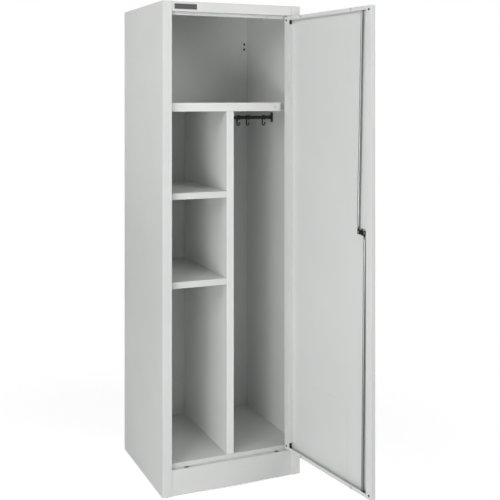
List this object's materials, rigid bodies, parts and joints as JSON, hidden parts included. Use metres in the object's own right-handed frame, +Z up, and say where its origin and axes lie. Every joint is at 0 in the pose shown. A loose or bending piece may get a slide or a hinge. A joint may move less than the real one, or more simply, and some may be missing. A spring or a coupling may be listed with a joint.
{
  "type": "broom cupboard",
  "caption": "Tall light-grey steel broom cupboard: hinged door with a turn-handle rod lock, shelves on the left, and a tall bay with sliding hooks on a rail on the right.",
  "frame": {"origin": "middle of the carcass footprint at floor level, between the glides", "axes": "+X to the right seen from the front, +Y to the back, +Z up; the door opening faces -Y"},
  "size_m": [0.6625, 1.0072, 1.95],
  "materials": {
    "carcass_paint": "light-grey powder coat, fine satin texture",
    "door_paint": "light-grey powder coat, fine satin texture",
    "black_paint": "black powder coat, satin",
    "black_plastic": "black moulded nylon, lightly grained",
    "glide_plastic": "dark grey moulded polyethylene",
    "bush_plastic": "natural nylon",
    "plate_metal": "brushed and anodised, bare",
    "zinc_steel": "bright zinc plated",
    "rod_steel": "drawn steel, dark finish",
    "rubber": "grey rubber",
    "lock_chrome": "nickel plated"
  },
  "bodies": {
    "carcass": {"left_side": "carcass_paint", "right_side": "carcass_paint", "back_panel": "carcass_paint", "top_panel": "carcass_paint", "bottom_panel": "carcass_paint", "plinth_front": "carcass_paint", "corner_plates": "carcass_paint", "floor_glides": "glide_plastic", "top_shelf": "carcass_paint", "upper_left_shelf": "carcass_paint", "lower_left_shelf": "carcass_paint", "divider": "carcass_paint", "name_plate": "plate_metal", "top_hinge_bush": "bush_plastic", "bottom_hinge_bush": "bush_plastic", "hook_rail": "black_paint", "left_rail_bracket": "black_paint", "right_rail_bracket": "black_paint", "rail_rivets": "black_paint"},
    "door": {"door_leaf": "door_paint", "door_upper_stiffener": "door_paint", "door_lower_stiffener": "door_paint", "lip_caps": "black_plastic", "door_buffers": "rubber", "top_hinge_block": "black_plastic", "bottom_hinge_block": "black_plastic", "top_hinge_pin": "zinc_steel", "bottom_hinge_pin": "zinc_steel", "lock_rosette": "lock_chrome", "lock_nut": "zinc_steel", "upper_rod_guide": "black_plastic", "lower_rod_guide": "black_plastic"},
    "handle_and_cam": {"turn_handle": "black_plastic", "locking_cam": "black_paint", "cam_screw": "zinc_steel", "cam_pins": "zinc_steel"},
    "key_plug": {"key_plug": "lock_chrome"},
    "upper_rod": {"upper_rod": "rod_steel"},
    "lower_rod": {"lower_rod": "rod_steel"},
    "left_hook": {"left_hook": "black_plastic"},
    "middle_hook": {"middle_hook": "black_plastic"},
    "right_hook": {"right_hook": "black_plastic"}
  },
  "joints": [
    {"name": "door_hinge", "type": "hinge", "parent": "carcass", "child": "door", "pos_m": [0.254, -0.2435, 1], "axis": [0, 0, 1], "range_deg": [-98, 12]},
    {"name": "handle_turn", "type": "hinge", "parent": "door", "child": "handle_and_cam", "pos_m": [0.32348, -0.69119, 1.072], "axis": [0.9903, 0.1392, 0], "range_deg": [0, 90]},
    {"name": "key_turn", "type": "hinge", "parent": "handle_and_cam", "child": "key_plug", "pos_m": [0.35646, -0.68655, 1.072], "axis": [0.9903, 0.1392, 0], "range_deg": [0, 90]},
    {"name": "upper_rod_slide", "type": "slide", "parent": "door", "child": "upper_rod", "axis": [0.0038, -0.0273, 0.9996], "range_m": [0, 0.02]},
    {"name": "lower_rod_slide", "type": "slide", "parent": "door", "child": "lower_rod", "axis": [-0.0019, 0.0134, -0.9999], "range_m": [0, 0.02]},
    {"name": "left_hook_slide", "type": "slide", "parent": "carcass", "child": "left_hook", "axis": [1, 0, 0], "range_m": [-0.1, 0.018]},
    {"name": "middle_hook_slide", "type": "slide", "parent": "carcass", "child": "middle_hook", "axis": [1, 0, 0], "range_m": [-0.003, 0.055]},
    {"name": "right_hook_slide", "type": "slide", "parent": "carcass", "child": "right_hook", "axis": [1, 0, 0], "range_m": [-0.002, 0.022]}
  ],
  "couplings": [
    {"joint": "handle_turn", "follows": "lower_rod_slide", "rad_per_m": 78.54},
    {"joint": "upper_rod_slide", "follows": "lower_rod_slide", "ratio": 1}
  ]
}
